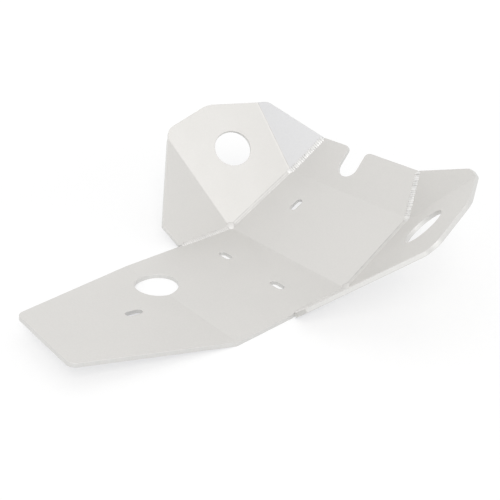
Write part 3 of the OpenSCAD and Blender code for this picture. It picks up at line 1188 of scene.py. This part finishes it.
@dataclass
class Studio:
    """The white room: floor, world, lamps and camera."""

    floor_half: float = 6.0
    floor_colour: Triple = (0.51, 0.50, 0.475)
    glow_near: Triple = (0.495, 0.505, 0.53)
    glow_far: Triple = (0.60, 0.61, 0.63)
    glow_reach: tuple[float, float] = (0.3, 1.5)
    sky: float = 0.8
    target: Triple = (0.03, 0.0, 0.05)
    camera_place: Triple = (-0.3671, -0.4231, 0.3326)
    camera_forward: Triple = (0.5980, 0.6488, -0.4706)
    camera_up: Triple = (0.2990, 0.3642, 0.8820)
    lens: float = 50.0
    sensor: float = 36.0
    clip: tuple[float, float] = (0.01, 50.0)
    lamps: tuple[Lamp, ...] = field(default_factory=lambda: (
        Lamp("key", (-0.9, -1.2, 1.5), (1.0, 1.0), 11.9),
        Lamp("top", (0.3, 0.2, 1.8), (1.4, 1.4), 1.3),
        Lamp("ahead", (1.2, 1.2, 1.0), (1.0, 1.0), 0.5),
        Lamp("left", (0.1, 1.8, 0.6), (1.0, 0.8), 1.25),
    ))

    def floor(self) -> bpy.types.Object:
        """Lay the white floor.

        Returns:
            The floor.
        """
        work = bmesh.new()
        half = self.floor_half
        corners = [(-half, -half, 0), (half, -half, 0), (half, half, 0), (-half, half, 0)]
        work.faces.new([work.verts.new(c) for c in corners])
        floor = as_object(work, "floor")
        material = bpy.data.materials.new("floor_white")
        material.use_nodes = True
        tree = material.node_tree
        tree.nodes.clear()
        matt = add_node(tree, "ShaderNodeBsdfDiffuse", {"Color": (*self.floor_colour, 1.0)})
        place = add_node(tree, "ShaderNodeTexCoord")
        away = add_node(tree, "ShaderNodeVectorMath",
                        {0: place.outputs["Object"]}, operation="LENGTH")
        near, far = self.glow_reach
        reach = add_node(tree, "ShaderNodeMapRange",
                         {"Value": away.outputs["Value"], "From Min": near, "From Max": far})
        blend = add_node(
            tree,
            "ShaderNodeMix",
            {
                "Factor": reach.outputs["Result"],
                "A": (*self.glow_near, 1.0),
                "B": (*self.glow_far, 1.0),
            },
            data_type="RGBA",
        )
        glow = add_node(tree, "ShaderNodeEmission",
                        {"Color": blend.outputs["Result"], "Strength": self.seen(tree)})
        both = add_node(tree, "ShaderNodeAddShader", {0: matt.outputs[0], 1: glow.outputs[0]})
        add_node(tree, "ShaderNodeOutputMaterial", {"Surface": both.outputs[0]})
        floor.data.materials.append(material)
        return floor

    def seen(self, tree: Tree) -> Socket:
        """Add a number that is 1 for camera, glossy and transmission rays.

        Args:
            tree: The tree that gets the nodes.

        Returns:
            The socket with the number.
        """
        path = add_node(tree, "ShaderNodeLightPath")
        result = path.outputs["Is Camera Ray"]
        for name in ("Is Glossy Ray", "Is Transmission Ray"):
            result = add_node(tree, "ShaderNodeMath",
                              {0: result, 1: path.outputs[name]}, operation="MAXIMUM").outputs[0]
        return result

    def world(self) -> None:
        """Make the white surroundings."""
        world = bpy.data.worlds.new("room")
        world.use_nodes = True
        tree = world.node_tree
        back = next(n for n in tree.nodes if n.type == "BACKGROUND")
        back.inputs["Color"].default_value = (1.0, 1.0, 1.0, 1.0)
        level = add_node(tree, "ShaderNodeMapRange",
                         {"Value": self.seen(tree), "To Min": self.sky, "To Max": 1.0})
        tree.links.new(level.outputs["Result"], back.inputs["Strength"])
        bpy.context.scene.world = world

    def light(self) -> list[bpy.types.Object]:
        """Hang the lamps.

        Returns:
            The lamps.
        """
        made = []
        for lamp in self.lamps:
            data = bpy.data.lights.new(lamp.name, "AREA")
            data.shape = "RECTANGLE"
            data.size, data.size_y = lamp.size
            data.energy = lamp.power
            one = bpy.data.objects.new(lamp.name, data)
            place = Vector(lamp.place)
            aim = (Vector(self.target) - place).to_track_quat("-Z", "Y")
            one.matrix_world = Matrix.Translation(place) @ aim.to_matrix().to_4x4()
            bpy.context.scene.collection.objects.link(one)
            made.append(one)
        return made

    def camera(self) -> bpy.types.Object:
        """Stand the camera.

        Returns:
            The camera.
        """
        data = bpy.data.cameras.new("camera")
        data.lens = self.lens
        data.sensor_width = self.sensor
        data.clip_start, data.clip_end = self.clip
        made = bpy.data.objects.new("camera", data)
        back = -Vector(self.camera_forward).normalized()
        across = Vector(self.camera_up).cross(back).normalized()
        up = back.cross(across)
        turn = Matrix((across, up, back)).transposed().to_4x4()
        made.matrix_world = Matrix.Translation(Vector(self.camera_place)) @ turn
        bpy.context.scene.collection.objects.link(made)
        bpy.context.scene.camera = made
        return made

    def build(self) -> None:
        """Set the room, the lamps and the camera."""
        floor = self.floor()
        self.world()
        lamps = self.light()
        self.camera()
        bpy.context.scene.view_settings.view_transform = "Standard"


SHEET_MATERIALS = {
    Finish.ROLLED: ROLLED_SHEET.material(),
    Finish.CUT: CUT_EDGE.material(),
    Finish.PRESSED: PAINTED_SHADE_LINE.material(),
    Finish.RUBBED: PAINTED_HIGHLIGHT_LINE.material(),
    Finish.COOLER_TONE: COOLER_TONE_SHEET.material(),
}
# The front wing fold's strip reuses the painted shade material.
SHEET_MATERIALS[Finish.PAINTED_CREASE_SHADE] = SHEET_MATERIALS[Finish.PRESSED]
WELD_MATERIALS = {Corner.FRONT: BRIGHT_WELD_PAINTED_HIGHLIGHT.material(), Corner.REAR: DULL_WELD.material()}


def main() -> None:
    """Build the plate, its welds and the room."""
    logging.basicConfig(level=logging.INFO, format="%(name)s: %(message)s")
    sheet = FoldedSheet()
    plate = sheet.build()
    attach(plate, "root")
    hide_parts("skid_plate")
    LOG.info("%s: %d faces", plate.name, len(plate.data.polygons))
    for number, (corner, side) in enumerate((c, s) for c in Corner for s in Side):
        node = f"weld_{corner.value}_{side.name.lower()}"
        seam, metal = sheet.seam(corner, side), WELD_MATERIALS[corner]
        bead = WeldBead(f"{node}_bead", seam, metal, seed=number + 3).build()
        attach(bead, "root")
        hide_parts(node)
        LOG.info("%s: %d faces", bead.name, len(bead.data.polygons))
    Studio().build()


if __name__ == "__main__":
    main()
